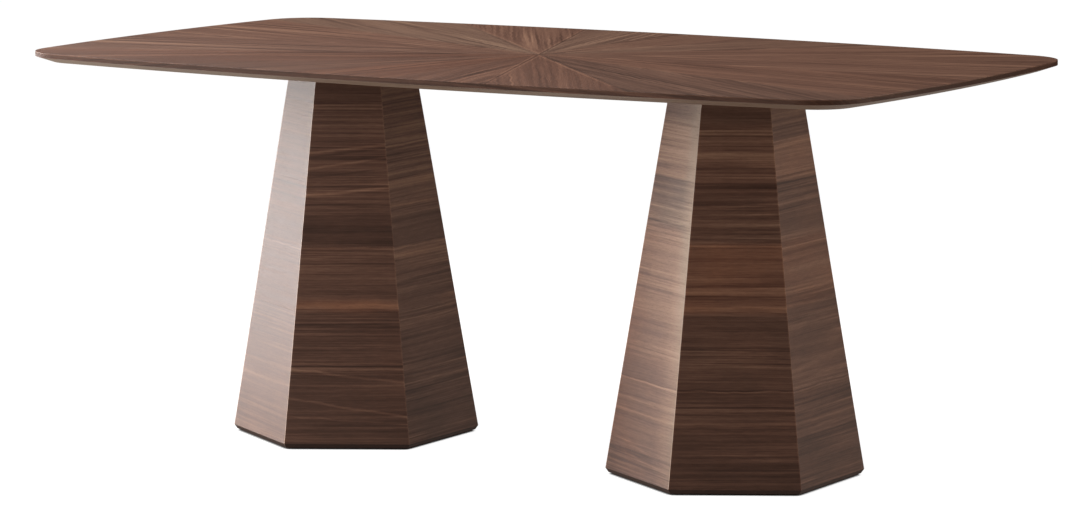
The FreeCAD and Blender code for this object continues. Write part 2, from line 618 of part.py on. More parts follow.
for side, centre, first_leaf, leaf_width in PEDESTALS:
    # the six side boards, named by where they face
    towards = ("inner", "outer") if side == "left" else ("outer", "inner")
    facing = (
        towards[0], "back_" + towards[0], "back_" + towards[1],
        towards[1], "front_" + towards[1], "front_" + towards[0])
    for k in range(6):
        panel(side + "_panel_" + facing[k], centre, 60 * k)
    face_veneers(side + "_face_veneers", centre, first_leaf, leaf_width)

    # loose tongues glued into the six mitres
    tongues = new_body(side + "_mitre_splines")
    tongue = new_sketch(tongues, "XZ_Plane", turn=30)
    polygon(tongue, spline_section("0"))
    pad(tongues, tongue, "Sizes.spline_width", both=True)
    pattern(tongues, None, "6")
    stand(tongues, centre)

    # plates that hold the six boards together
    base_plate(side + "_base_plate", centre)
    former = new_body(side + "_former")
    hexagonal(former, [
        ("0", "Sizes.former_level"), (apothem("Sizes.former_level", INNER_GLUED), "Sizes.former_level"),
        (apothem(FORMER_TOP, INNER_GLUED), FORMER_TOP), ("0", FORMER_TOP)])
    hole = new_sketch(former, "XY_Plane", "Sizes.former_level")
    circle_at(hole, "0", "0", "Sizes.former_hole / 2")
    pocket(former, hole, "Sizes.former_thickness")
    stand(former, centre)
    block = new_body(side + "_neck_block")
    hexagonal(block, [
        ("0", BLOCK_BOTTOM), (apothem(BLOCK_BOTTOM, INNER_GLUED), BLOCK_BOTTOM),
        (apothem(UNDERSIDE, INNER_GLUED), UNDERSIDE), ("0", UNDERSIDE)])
    ring_of_holes(block, SCREW_CIRCLE, screw_section("Sizes.fastener_play"))
    stand(block, centre)

    # steel plate let into the underside, its bolts, inserts and screws
    plate = new_body(side + "_top_plate")
    plate_plan = new_sketch(plate, "XY_Plane", UNDERSIDE)
    hexagon(plate_plan, "(%s / 2)" % PLATE_WIDTH)
    pad(plate, plate_plan, "Sizes.plate_thickness")
    ring_of_holes(plate, BOLT_CIRCLE, bolt_section("Sizes.fastener_play"))
    ring_of_holes(plate, SCREW_CIRCLE, screw_section("Sizes.fastener_play"))
    stand(plate, centre)
    ring_of_fasteners(side + "_plate_bolts", BOLT_CIRCLE, bolt_section("0"), centre)
    ring_of_fasteners(side + "_block_screws", SCREW_CIRCLE, screw_section("0"), centre)
    insert_inner = "(Sizes.bolt_diameter / 2 + Sizes.fastener_play)"
    insert_top = "(%s + Sizes.insert_length)" % RECESS_TOP
    ring_of_fasteners(side + "_top_inserts", BOLT_CIRCLE, [
        (insert_inner, RECESS_TOP), ("Sizes.insert_diameter / 2", RECESS_TOP),
        ("Sizes.insert_diameter / 2", insert_top), (insert_inner, insert_top)], centre)

    # threaded sleeves over the four feet
    sleeves = new_body(side + "_foot_sleeves")
    rings = new_sketch(sleeves, "XY_Plane", SLEEVE_BOTTOM)
    for x, y in (("1", "0"), ("-1", "0"), ("0", "1"), ("0", "-1")):
        spot_x = "%s * Sizes.foot_spacing_along / 2" % x
        spot_y = "%s * Sizes.foot_spacing_across / 2" % y
        circle_at(rings, spot_x, spot_y, "Sizes.foot_insert_diameter / 2")
        circle_at(rings, spot_x, spot_y, "(Sizes.stem_diameter / 2 + Sizes.stem_play)")
    pad(sleeves, rings, "%s - %s" % (BASE_TOP, SLEEVE_BOTTOM))
    stand(sleeves, centre)

    # four levelling feet
    along = "Sizes.foot_spacing_along / 2"
    across = "Sizes.foot_spacing_across / 2"
    foot("%s_foot_%s" % (side, towards[0]), "%s + %s" % (centre, along), "0")
    foot("%s_foot_%s" % (side, towards[1]), "%s - %s" % (centre, along), "0")
    foot("%s_foot_back" % side, centre, across)
    foot("%s_foot_front" % side, centre, "-" + across)

# Every object has to be sound before anything is written
doc.recompute()
for item in doc.Objects:
    if "Invalid" in item.State or "Error" in item.State:
        raise RuntimeError("failed object: " + item.Label)
    if item.TypeId in ("PartDesign::Pocket", "PartDesign::Groove", "PartDesign::Chamfer"):
        if not item.Shape.Volume < item.BaseFeature.Shape.Volume:
            raise RuntimeError("cuts nothing: " + item.Label)
bodies = [item for item in doc.Objects if item.TypeId == "PartDesign::Body"]
for item in bodies:
    if item.Shape.isNull() or not item.Shape.isValid():
        raise RuntimeError("unsound shape: " + item.Label)
for item in bodies:
    item.Shape.exportStep(os.path.join("parts", item.Label + ".step"))
print(len(bodies), "pieces written")
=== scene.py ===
import math
import bpy
from mathutils import Matrix, Vector


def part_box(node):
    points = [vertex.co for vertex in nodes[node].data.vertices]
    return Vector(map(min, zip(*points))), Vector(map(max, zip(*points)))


# Dining table in dark walnut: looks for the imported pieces, in metres.
# Frame: +Z up, X along the table, the front is -Y, the origin is on the floor.

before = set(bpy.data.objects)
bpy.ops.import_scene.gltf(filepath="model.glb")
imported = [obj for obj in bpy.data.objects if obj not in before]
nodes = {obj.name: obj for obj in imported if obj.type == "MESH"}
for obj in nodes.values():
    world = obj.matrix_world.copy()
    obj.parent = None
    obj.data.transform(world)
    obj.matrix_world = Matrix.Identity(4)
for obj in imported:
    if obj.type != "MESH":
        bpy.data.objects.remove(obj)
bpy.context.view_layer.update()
MM = 0.001
TURN = 2 * math.pi

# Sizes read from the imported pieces
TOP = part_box("sunburst_veneer")[1].z
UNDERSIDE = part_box("backing_veneer")[0].z
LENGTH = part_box("sunburst_veneer")[1].x * 2


def middle(node):
    low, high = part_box(node)
    return (low + high) / 2


def across_flats(node):
    low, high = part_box(node)
    return high.x - low.x


AXIS = {"left": middle("left_face_veneers").x, "right": middle("right_face_veneers").x}
PANEL_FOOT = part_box("left_face_veneers")[0].z
FLATS_FOOT = across_flats("left_face_veneers")
BLOCK_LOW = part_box("left_neck_block")[0].z
BLOCK_FLATS = across_flats("left_neck_block")
LEAN = (FLATS_FOOT - BLOCK_FLATS) / 2 / (BLOCK_LOW - PANEL_FOOT)

# Leaves of the sunburst, sides of a pedestal, and the leaves down each side: the topmost
# one, then the others
SUNBURST_LEAVES = 16
SIDES = 6
FIRST_LEAF = {"left": 110 * MM, "right": 168 * MM}
LEAF_WIDTH = {"left": 122 * MM, "right": 128 * MM}

# Colours of the materials, as light reflected
WALNUT_DEEP = (0.048, 0.021, 0.013)
WALNUT_DARK = (0.088, 0.041, 0.027)
WALNUT_MID = (0.130, 0.063, 0.042)
WALNUT_PALE = (0.190, 0.098, 0.065)
WALNUT_TAN = (0.285, 0.160, 0.103)
WALNUT_BRIGHT = (0.430, 0.260, 0.175)
WARM_TINT = (1.0, 0.83, 0.72)
COOL_TINT = (0.84, 0.96, 1.0)
PLY_PALE = (0.520, 0.385, 0.240)
PLY_DARK = (0.330, 0.215, 0.120)
BOARD_PALE = (0.430, 0.310, 0.190)
BOARD_DARK = (0.250, 0.165, 0.095)
BASE_BLACK = (0.032, 0.016, 0.012)
COAT_BLACK = (0.020, 0.020, 0.021)
COAT_DUST = (0.045, 0.045, 0.047)
NYLON_BLACK = (0.018, 0.018, 0.019)
NYLON_DUST = (0.05, 0.05, 0.05)
ZINC_PALE = (0.620, 0.625, 0.640)
ZINC_DARK = (0.380, 0.385, 0.400)
BLACK_ZINC_PALE = (0.10, 0.10, 0.11)
BLACK_ZINC_DARK = (0.04, 0.04, 0.045)
BRASS_PALE = (0.800, 0.600, 0.280)
BRASS_DARK = (0.520, 0.360, 0.140)

# Strength of the reflection in the lacquer: everywhere, then where it differs
GLOSS = 0.42
RIM_GLOSS = 0.15
BEVEL_GLOSS = 0.9
ARRIS_GLOSS = 1.0


def packed(value):
    """A value between -1 and 1 as a share of colour between 0 and 1."""
    return value / 2 + 0.5


class Formula:
    """A material whose node tree is written as formulas."""

    def __init__(self, name):
        self.material = bpy.data.materials.new(name)
        self.material.use_nodes = True
        self.tree = self.material.node_tree
        self.tree.nodes.clear()
        self.shader = self.add("ShaderNodeBsdfPrincipled")
        self.output = self.add("ShaderNodeOutputMaterial", [self.shader.outputs[0]])

    def add(self, kind, inputs=(), **settings):
        """A new node. Its inputs are fed in order, or by name or number out of a dict."""
        node = self.tree.nodes.new(kind)
        for name, value in settings.items():
            setattr(node, name, value)
        pairs = inputs.items() if isinstance(inputs, dict) else enumerate(inputs)
        for key, value in pairs:
            self.feed(node.inputs[key], value)
        return node

    def feed(self, socket, value):
        """Links the output of a node, or sets a number or a colour."""
        if isinstance(value, bpy.types.NodeSocket):
            self.tree.links.new(value, socket)
        elif isinstance(value, tuple) and len(value) == 3 and socket.type == "RGBA":
            socket.default_value = value + (1,)
        else:
            socket.default_value = value

    def math(self, operation, *values):
        return self.add("ShaderNodeMath", values, operation=operation).outputs[0]

    def plus(self, a, b):
        return self.math("ADD", a, b)

    def minus(self, a, b):
        return self.math("SUBTRACT", a, b)

    def times(self, a, b):
        return self.math("MULTIPLY", a, b)

    def divide(self, a, b):
        return self.math("DIVIDE", a, b)

    def total(self, *terms):
        result = terms[0]
        for term in terms[1:]:
            result = self.plus(result, term)
        return result

    def vary(self, start, noise, share):
        """A value with a share of a noise added to it."""
        return self.plus(start, self.times(noise, share))

    def swing(self, value, size):
        """What lies about 0.5 brought to lie about 0, and made so many times as large."""
        return self.times(self.minus(value, 0.5), size)

    def calmed(self, value, share):
        """What lies about 0.5 brought nearer to it by a share."""
        return self.plus(self.swing(value, self.minus(1.0, share)), 0.5)

    def radius(self, x, y):
        return self.math("SQRT", self.plus(self.times(x, x), self.times(y, y)))

    def modulo(self, number, count):
        return self.math("MODULO", number, float(count))

    def same(self, number, wanted):
        """1 where a whole number is the wanted one, else 0."""
        return self.math("COMPARE", number, float(wanted), 0.1)

    def mirror(self, number):
        """1 for an even number, -1 for an odd one."""
        return self.minus(1.0, self.times(self.modulo(number, 2), 2.0))

    def place(self):
        """x, y and z of a point of the piece, in the table's frame."""
        coordinates = self.add("ShaderNodeTexCoord").outputs["Object"]
        return tuple(self.add("ShaderNodeSeparateXYZ", [coordinates]).outputs)

    def noise(self, x, y, z, detail=2.0, rough=0.5):
        """Soft noise, about 0 to 1, whose spots are one unit wide."""
        vector = self.add("ShaderNodeCombineXYZ", (x, y, z)).outputs[0]
        inputs = {"Vector": vector, "Scale": 1.0, "Detail": detail, "Roughness": rough}
        return self.add("ShaderNodeTexNoise", inputs, noise_dimensions="3D").outputs[0]

    def field(self, a, b, rates, seed, detail=2.0, rough=0.5):
        """Noise over two lengths, with so many spots for each metre of them."""
        a, b = self.times(a, rates[0]), self.times(b, rates[1])
        return self.noise(a, b, seed, detail, rough)

    def spots(self, place, rates, detail=2.0, rough=0.5):
        """Noise at a place, with so many spots for each metre of x, y and z."""
        scaled = [self.times(value, rate) for value, rate in zip(place, rates)]
        return self.noise(*scaled, detail, rough)

    def level(self, value, low, high, start=0.0, end=1.0):
        """Takes low..high to start..end, smoothly, and holds the ends."""
        inputs = (value, low, high, start, end)
        node = self.add("ShaderNodeMapRange", inputs, interpolation_type="SMOOTHSTEP")
        return node.outputs[0]

    def ridge(self, value, centre, half_width):
        """1 at the centre, falling to 0 at half_width on either side."""
        away = self.math("ABSOLUTE", self.minus(value, centre))
        return self.level(away, 0.0, half_width, 1.0, 0.0)

    def ramp(self, value, stops, interpolation="LINEAR"):
        """The colour at a value between 0 and 1, from stops of (position, colour)."""
        node = self.add("ShaderNodeValToRGB", [value])
        node.color_ramp.interpolation = interpolation
        elements = node.color_ramp.elements
        while len(elements) < len(stops):
            elements.new(1.0)
        for element, (position, colour) in zip(elements, stops):
            element.position = position
            element.color = colour + (1,)
        return node.outputs[0]

    def blend(self, factor, a, b, mode="MIX"):
        inputs = {0: factor, 6: a, 7: b}
        return self.add("ShaderNodeMix", inputs, data_type="RGBA", blend_type=mode).outputs[2]

    def steps(self, index, values):
        """The value of a whole index, from 0, out of a list of values between -1 and 1."""
        count = len(values)
        stops = [(number / count, (packed(value),) * 3) for number, value in enumerate(values)]
        share = self.divide(self.plus(index, 0.5), float(count))
        return self.swing(self.ramp(share, stops, "CONSTANT"), 2.0)

    def bands(self, distance, stops):
        """Tone and warmth along a distance, from stops of (mm, tone, warmth)."""
        reach = stops[-1][0] * MM
        colours = [
            (place * MM / reach, (packed(tone), packed(warmth), 0.5))
            for place, tone, warmth in stops]
        colour = self.ramp(self.divide(distance, reach), colours)
        tone, warmth = self.add("ShaderNodeSeparateColor", [colour]).outputs[:2]
        return self.swing(tone, 2.0), self.swing(warmth, 2.0)

    def bump(self, height, depth, strength):
        inputs = {"Strength": strength, "Distance": depth, "Height": height}
        self.feed(self.shader.inputs["Normal"], self.add("ShaderNodeBump", inputs).outputs[0])

    def finish(self, colour, rough, **sockets):
        """The material with its surface set: other sockets by name, with _ for a space."""
        self.feed(self.shader.inputs["Base Color"], colour)
        self.feed(self.shader.inputs["Roughness"], rough)
        for name, value in sockets.items():
            self.feed(self.shader.inputs[name.replace("_", " ")], value)
        return self.material


def dress(material, *names):
    for name in names:
        slots = nodes[name].data.materials
        slots.clear()
        slots.append(material)


# Noise in the figure of sliced walnut: spots per metre along and over the grain, a seed of
# its own, detail and roughness
FIGURE = {
    "drift": (2.2, 7.0, 0.0, 1.0, 0.5),
    "wide": (1.4, 26.0, 11.3, 2.0, 0.5),
    "lines": (2.0, 150.0, 23.7, 4.0, 0.68),
    "rings": (1.2, 165.0, 71.3, 1.0, 0.5),
    "hair": (9.0, 760.0, 41.1, 2.0, 0.5),
    "pores": (75.0, 2100.0, 57.9, 1.0, 0.5),
    "fleck": (45.0, 430.0, 83.1, 2.0, 0.5),
    "clear": (1.6, 15.0, 91.7, 1.0, 0.5),
}
DRIFT = 14 * MM
HAIR_TONE = 0.30
FLECK_TONE = 0.35
RING_EDGE = (0.60, 0.70)
PORE_EDGE = (0.60, 0.72)

# Share of the surface that the dark rings cover, given back to the tone as a whole
RING_SHARE = 0.1

# The lines fade and strengthen in patches: edges of the patches, least and greatest strength
CLEAR_EDGE = (0.38, 0.62)
CLEARNESS = (0.45, 1.35)


def veneer_figure(f, along, over, seed, broad=0.55, fine=1.6, dark=0.16):
    """Tone, about 0 to 1, lines and pores of sliced walnut, along and over its grain."""

    def layer(name, over):
        along_rate, over_rate, own_seed, detail, rough = FIGURE[name]
        rates = (along_rate, over_rate)
        return f.field(along, over, rates, f.plus(seed, own_seed), detail, rough)

    over = f.plus(over, f.swing(layer("drift", over), DRIFT))
    lines = layer("lines", over)
    rings = f.level(layer("rings", over), *RING_EDGE)
    pores = f.level(layer("pores", over), *PORE_EDGE)
    clear = f.level(layer("clear", over), *CLEAR_EDGE, *CLEARNESS)
    strong = f.plus(f.swing(lines, fine), f.times(rings, -dark))
    tone = f.total(
        f.swing(layer("wide", over), broad), f.times(strong, clear),
        f.swing(layer("hair", over), HAIR_TONE), f.swing(layer("fleck", over), FLECK_TONE),
        0.5 + dark * RING_SHARE)
    return tone, lines, pores


# Colour of each tone; on a light leaf, and more so where painted light is added, a light
# line can be brighter than 1
BRIGHTEST = 1.4
TONES = (
    (0.00, WALNUT_DEEP), (0.30, WALNUT_DARK), (0.50, WALNUT_MID),
    (0.72, WALNUT_PALE), (1.00, WALNUT_TAN), (BRIGHTEST, WALNUT_BRIGHT))
PORE_DEPTH = 0.45


def walnut_colour(f, tone, pores, warmth=None):
    """Colour of walnut: warmth above 0 turns it redder, below 0 greyer."""
    stops = [(at / BRIGHTEST, colour) for at, colour in TONES]
    colour = f.ramp(f.times(tone, 1 / BRIGHTEST), stops)
    if warmth is not None:
        colour = f.blend(f.level(warmth, 0.0, 1.0), colour, WARM_TINT, "MULTIPLY")
        colour = f.blend(f.level(warmth, 0.0, -1.0), colour, COOL_TINT, "MULTIPLY")
    return f.blend(f.times(pores, PORE_DEPTH), colour, WALNUT_DEEP)


# Lacquer: depth and strength of its relief, height of the lines in it, and what the lines
# and the pores add to its roughness
LACQUER_DEPTH = 0.05 * MM
LACQUER_BUMP = 0.6
LINE_HEIGHT = 0.25
LINE_ROUGHNESS = 0.10
PORE_ROUGHNESS = 0.08


def lacquer(f, colour, lines, pores, rough=0.40, gloss=GLOSS):
    """Satin lacquer that leaves the pores a little open."""
    f.bump(f.minus(f.times(lines, LINE_HEIGHT), pores), LACQUER_DEPTH, LACQUER_BUMP)
    rough = f.total(f.swing(lines, LINE_ROUGHNESS), rough, f.times(pores, PORE_ROUGHNESS))
    return f.finish(colour, rough, Specular_IOR_Level=gloss)


# Sunburst: tone, warmth and calm of each leaf, from +X anticlockwise seen from above. Tone
# and warmth are partly each leaf's own and partly painted light: the back leaves are painted
# lighter and cooler, the front ones darker and warmer
LEAF_TONES_AND_LIGHT = (.00, .00, .05, .02, .08, .03, .16, .02, .00, -.07, -.08, -.03, -.07, -.02, -.08, .00)
LEAF_WARMTHS_AND_LIGHT = (.1, -.1, -.5, -.3, -.6, .0, -.7, .1, .0, .6, .3, .7, .4, .4, -.3, .3)
LEAF_CALM = (0, 0, 0, .1, .3, .4, .2, 0, 0, 0, 0, .1, .3, .5, .1, 0)
SUNBURST_FIGURE = {"broad": 0.6, "fine": 2.2, "dark": 0.14}
SUNBURST_SEED = 0.23
SUNBURST_WARMTH = 0.6

# Curl of its grain: spots per metre along and over it, seed, size
CURL_RATES = (30.0, 12.0)
CURL_SEED = 0.6
CURL = 9 * MM

# Lines beside its joints: distance from the joint in mm, half width in mm, and change of
# tone at each joint in the same order
JOINT_LINES = (
    (0.0, 2.2, (
        -.05, -.20, -.10, -.15, -.30, -.30, .05, -.20, -.05, -.25, -.10, -.10, -.35, -.30,
        .05, -.10)),
    (4.5, 3.5, (
        .15, .10, .05, .20, .10, .30, -.25, .15, .20, .05, .05, .05, .20, .20, -.30, .05)),
    (-4.0, 3.0, (
        .10, .05, .10, .15, .05, .25, .35, .05, .10, -.10, .10, .05, .05, .25, .40, .10)),
)

# Where those lines fade, in metres from the middle, and from what strength to what
JOINT_FADE = (0.15, 0.75, 1.0, 0.35)

# Rays round the middle: where they fade in the same way, lines per radian and per metre
# outwards, seed, detail and roughness of their noise, strength, and how they ripple
RAY_FADE = (0.06, 0.50, 1.0, 0.0)
RAY_RATES = (85.0, 9.0)
RAY_SEED = 4.4
RAY_DETAIL = 3.0
RAY_ROUGHNESS = 0.7
RAY_TONE = 0.95
RIPPLE_RATES = (22.0, 22.0)
RIPPLE_SEED = 7.7
RIPPLE = 5.0


def add_joint_lines(f, tone, angle, turns, reach):
    nearest = f.math("ROUND", turns)
    joint = f.modulo(nearest, SUNBURST_LEAVES)
    from_joint = f.minus(angle, f.times(nearest, TURN / SUNBURST_LEAVES))
    beside = f.times(reach, f.math("SINE", from_joint))
    fading = f.level(reach, *JOINT_FADE)
    for distance, half_width, values in JOINT_LINES:
        line = f.times(f.ridge(beside, distance * MM, half_width * MM), fading)
        tone = f.plus(tone, f.times(line, f.steps(joint, values)))
    return tone


def sunburst_rays(f, x, y, angle, reach):
    ripple = f.field(x, y, RIPPLE_RATES, RIPPLE_SEED)
    round_middle = f.plus(f.times(angle, RAY_RATES[0]), f.times(ripple, RIPPLE))
    outwards = f.times(reach, RAY_RATES[1])
    rays = f.noise(round_middle, outwards, RAY_SEED, RAY_DETAIL, RAY_ROUGHNESS)
    return f.times(f.swing(rays, f.level(reach, *RAY_FADE)), RAY_TONE)


def sunburst_material():
    """Leaves that meet in the middle, each with its grain along its own middle line."""
    f = Formula("sunburst_walnut")
    x, y, _ = f.place()
    angle = f.plus(f.math("ARCTAN2", y, x), TURN)
    reach = f.radius(x, y)
    turns = f.times(angle, SUNBURST_LEAVES / TURN)
    leaf = f.math("FLOOR", turns)
    number = f.modulo(leaf, SUNBURST_LEAVES)
    off = f.minus(angle, f.times(f.plus(leaf, 0.5), TURN / SUNBURST_LEAVES))
    along = f.times(reach, f.math("COSINE", off))
    over = f.times(f.times(reach, f.math("SINE", off)), f.mirror(leaf))
    curl = f.field(along, over, CURL_RATES, f.times(number, CURL_SEED), detail=1.0)
    over = f.plus(over, f.swing(curl, CURL))
    seed = f.times(number, SUNBURST_SEED)
    tone, lines, pores = veneer_figure(f, along, over, seed, **SUNBURST_FIGURE)
    tone = f.calmed(tone, f.steps(number, LEAF_CALM))
    tone = add_joint_lines(f, tone, angle, turns, reach)
    # Each leaf's tone and warmth, with painted light in them: back leaves lighter and cooler,
    # front ones darker and warmer
    tone = f.total(tone, sunburst_rays(f, x, y, angle, reach), f.steps(number, LEAF_TONES_AND_LIGHT))
    warmth = f.plus(f.steps(number, LEAF_WARMTHS_AND_LIGHT), f.swing(lines, SUNBURST_WARMTH))
    return lacquer(f, walnut_colour(f, tone, pores, warmth), lines, pores)


# Colour down the faces of a pedestal: mm from under the top, tone, warmth. The first list
# is for the faces that look along X, the next two for the other pairs of opposite faces,
# anticlockwise seen from above. The tones are partly the stacked leaves and partly painted
# light: each pair of faces, and each height down it, is painted lighter or darker for the
# light that falls there
BANDS_AND_PAINTED_LIGHT = {
    "left": (
        ((0, .18, -.15), (60, .18, -.2), (155, .21, -.2), (165, .22, -.05), (240, .18, .1),
         (285, .06, .1), (295, .00, .0), (350, -.02, -.1), (356, .14, .1), (385, .12, .0),
         (395, .09, .1), (500, .06, .1), (510, -.01, .0), (600, .00, .0), (640, -.06, -.1),
         (740, -.08, -.2)),
        ((0, .10, -.8), (90, .07, -.7), (230, -.09, -.2), (345, -.12, -.1), (352, -.06, .05),
         (358, -.09, .0), (440, -.09, .0), (470, -.08, .0), (480, -.01, -.05),
         (560, .00, -.05), (640, .07, -.05), (740, .09, -.05)),
        ((0, .03, .0), (45, .02, .0), (90, .00, .0), (150, -.05, -.1), (160, .03, .1),
         (200, .03, .1), (206, -.04, .0), (220, -.04, .0), (228, .02, .1), (262, .00, .0),
         (288, -.11, .0), (300, -.23, .0), (350, -.26, -.1), (354, -.01, .2), (445, -.08, .1),
         (452, .04, .4), (474, .04, .4), (480, -.12, .1), (500, -.13, .1), (510, -.09, .15),
         (574, -.08, .15), (580, -.12, .1), (640, -.16, .1), (690, -.20, .0), (740, -.20, .0))),
    "right": (
        ((0, .15, .0), (60, .13, .0), (100, .10, .1), (108, .22, .4), (172, .21, .4),
         (182, -.02, -.1), (270, -.02, -.2), (284, .15, .5), (398, .15, .5), (408, .08, -.1),
         (470, .02, -.1), (498, -.03, -.1), (506, -.03, .0), (545, -.03, .0), (556, -.10, .1),
         (598, -.10, .1), (606, -.07, .1), (625, -.09, .1), (636, -.17, .0), (740, -.18, .0)),
        ((0, .46, -.3), (45, .45, -.4), (72, .49, -.4), (80, .57, -.2), (172, .52, -.1),
         (180, .27, -.7), (258, .26, -.7), (270, .38, -.1), (290, .41, .1), (400, .42, .1),
         (440, .22, .3), (600, .15, .3), (640, .05, .3), (740, -.05, .3)),
        ((0, .10, -.2), (45, .08, -.3), (68, .10, -.3), (76, .20, .0), (172, .19, .0),
         (182, .02, -.1), (200, -.07, -.3), (280, -.07, -.3), (288, .19, .55), (408, .22, .6),
         (416, -.08, -.2), (470, -.07, -.3), (545, -.04, -.2), (552, -.13, -.1),
         (598, -.14, -.1), (604, -.11, .0), (620, -.13, .0), (630, -.22, -.1), (740, -.24, -.1))),
}

# Streaks on the sides: face (0 looks along +X, the next ones follow anticlockwise seen from
# above, None means all), mm from under the top at the middle of the face, fall towards the
# right seen from outside, half width in mm, tone, warmth
STREAKS = {
    "left": (
        (5, 166, -.11, 4, .26, .1), (5, 173, -.13, 4, -.16, .0), (5, 193, -.15, 4, .24, .1),
        (5, 212, -.12, 3, -.14, .0), (5, 247, -.10, 5, .28, .2), (5, 322, .00, 9, -.12, -.2),
        (None, 355, .00, 3, .20, .1), (5, 462, .00, 13, .24, .4), (0, 462, .00, 10, .06, .2),
        (5, 500, .00, 4, -.16, .0), (5, 577, .00, 3, -.20, .0), (5, 596, .12, 4, .22, .1),
        (5, 656, .15, 4, .22, .1), (5, 680, .06, 3, .14, .1), (0, 162, -.03, 3, .22, .2),
        (0, 172, .00, 3, -.14, .0), (0, 233, .00, 12, .12, .2), (0, 275, .00, 5, .14, .3),
        (0, 368, .00, 16, .16, .3), (0, 612, .00, 3, .16, .1), (0, 682, .00, 3, .12, .1),
        (4, 616, .00, 6, .10, .0), (4, 700, .00, 20, -.06, .1), (2, 240, .10, 5, .20, .1),
        (1, 430, .08, 6, .20, .1), (3, 200, -.1, 5, .20, .1)),
    "right": (
        (None, 178, .00, 2.5, -.22, .0), (5, 92, .00, 4, -.16, .0), (5, 120, .00, 4, -.12, .0),
        (5, 150, .00, 4, -.16, .0), (5, 218, -.06, 4, .14, .0), (5, 384, .00, 3, -.14, .0),
        (5, 400, .00, 4, .16, .1), (5, 408, .00, 2.5, -.16, .0), (None, 547, .00, 2.5, -.18, .0),
        (None, 550, .00, 2.5, .22, .1), (0, 555, .00, 2.5, .14, .1), (None, 608, .00, 5, .16, .1),
        (None, 617, .00, 4, -.12, .0), (4, 257, -.09, 4, .16, .0), (4, 360, .00, 4, .10, .1),
        (4, 690, .10, 4, .12, .1), (4, 672, .14, 4, .10, .1), (0, 335, .00, 12, .10, -.2),
        (0, 395, .06, 5, -.14, .0), (0, 505, -.08, 8, .12, .0), (0, 525, -.06, 4, -.08, .0),
        (0, 620, -.04, 5, .14, .0), (5, 660, .00, 8, .05, .2), (2, 300, .1, 5, .2, .1),
        (1, 470, .08, 6, .2, .1), (3, 220, -.1, 5, .2, .1)),
}
STREAK_TONE = 1.25

# Bands and streaks are measured down the face from this far under the top
MARK_START = 4 * MM

# Figure of the sides: change of seed from face to face and from leaf to leaf, warmth of the
# lines
FACE_SEED = 0.21
LEAF_SEED = 6.1
LINE_WARMTH = -0.45

# Soft patches, and the wave of the streaks: spots per metre across and down, seed, strength
PATCH_RATES = (9.0, 12.0)
PATCH_SEED = 1.7
PATCH_TONE = 0.16
PATCH_WARMTH = 0.7
WAVE_RATES = (14.0, 3.0)
WAVE_SEED = 2.7
WAVE = 10 * MM

# The face turned to the light, at the left seen from the camera: how much calmer its figure
# is, and the painted sheen on it, a painted highlight whose tone rises and cools towards its
# right edge seen from outside
LIT_FACE = 4
LIT_CALM = {"left": 0.45, "right": 0.0}
PAINTED_SHEEN_STRENGTH = {"left": 0.03, "right": 0.34}
SHEEN_SLOPE = 0.45
SHEEN_EDGE = (0.35, 1.0)
SHEEN_DOWN = (0.30, 0.65, 1.0, 0.75)
SHEEN_COOLING = 2.2

# Painted highlight along each arris: its half width, its tone, and how much more of it the
# lit face shows
ARRIS_HIGHLIGHT = 3.0 * MM
ARRIS_HIGHLIGHT_TONE = 0.20
LIT_ARRIS_HIGHLIGHT_TONE = 0.55


def face_place(f, x, y):
    """Number of the face, distance across it from its middle, and half its width there."""
    angle = f.math("ARCTAN2", y, x)
    face = f.math("ROUND", f.times(angle, SIDES / TURN))
    off = f.minus(angle, f.times(face, TURN / SIDES))
    reach = f.radius(x, y)
    across = f.times(reach, f.math("SINE", off))
    half_face = f.times(reach, f.times(f.math("COSINE", off), math.tan(TURN / SIDES / 2)))
    return f.modulo(f.plus(face, float(SIDES)), SIDES), across, half_face


def add_bands_and_painted_light(f, side, number, mark, tone, warmth):
    for pair, stops in enumerate(BANDS_AND_PAINTED_LIGHT[side]):
        here = f.same(f.modulo(number, SIDES / 2), pair)
        band, redder = f.bands(mark, stops)
        tone = f.plus(tone, f.times(band, here))
        warmth = f.plus(warmth, f.times(redder, here))
    return tone, warmth


def add_streaks(f, side, number, across, mark, tone, warmth):
    for only, place, fall, half_width, change, redder in STREAKS[side]:
        level = f.plus(mark, f.times(across, -fall))
        streak = f.ridge(level, place * MM, half_width * MM)
        if only is not None:
            streak = f.times(streak, f.same(number, only))
        tone = f.plus(tone, f.times(streak, change * STREAK_TONE))
        warmth = f.plus(warmth, f.times(streak, redder))
    return tone, warmth


# Shape of the painted highlight on the lit face: rising towards its right edge, weaker low down
def painted_sheen_shape(f, across, half_face, down):
    edgewise = f.divide(across, half_face)
    painted_sheen = f.plus(f.times(edgewise, SHEEN_SLOPE), f.level(edgewise, *SHEEN_EDGE))
    return f.times(painted_sheen, f.level(down, *SHEEN_DOWN))


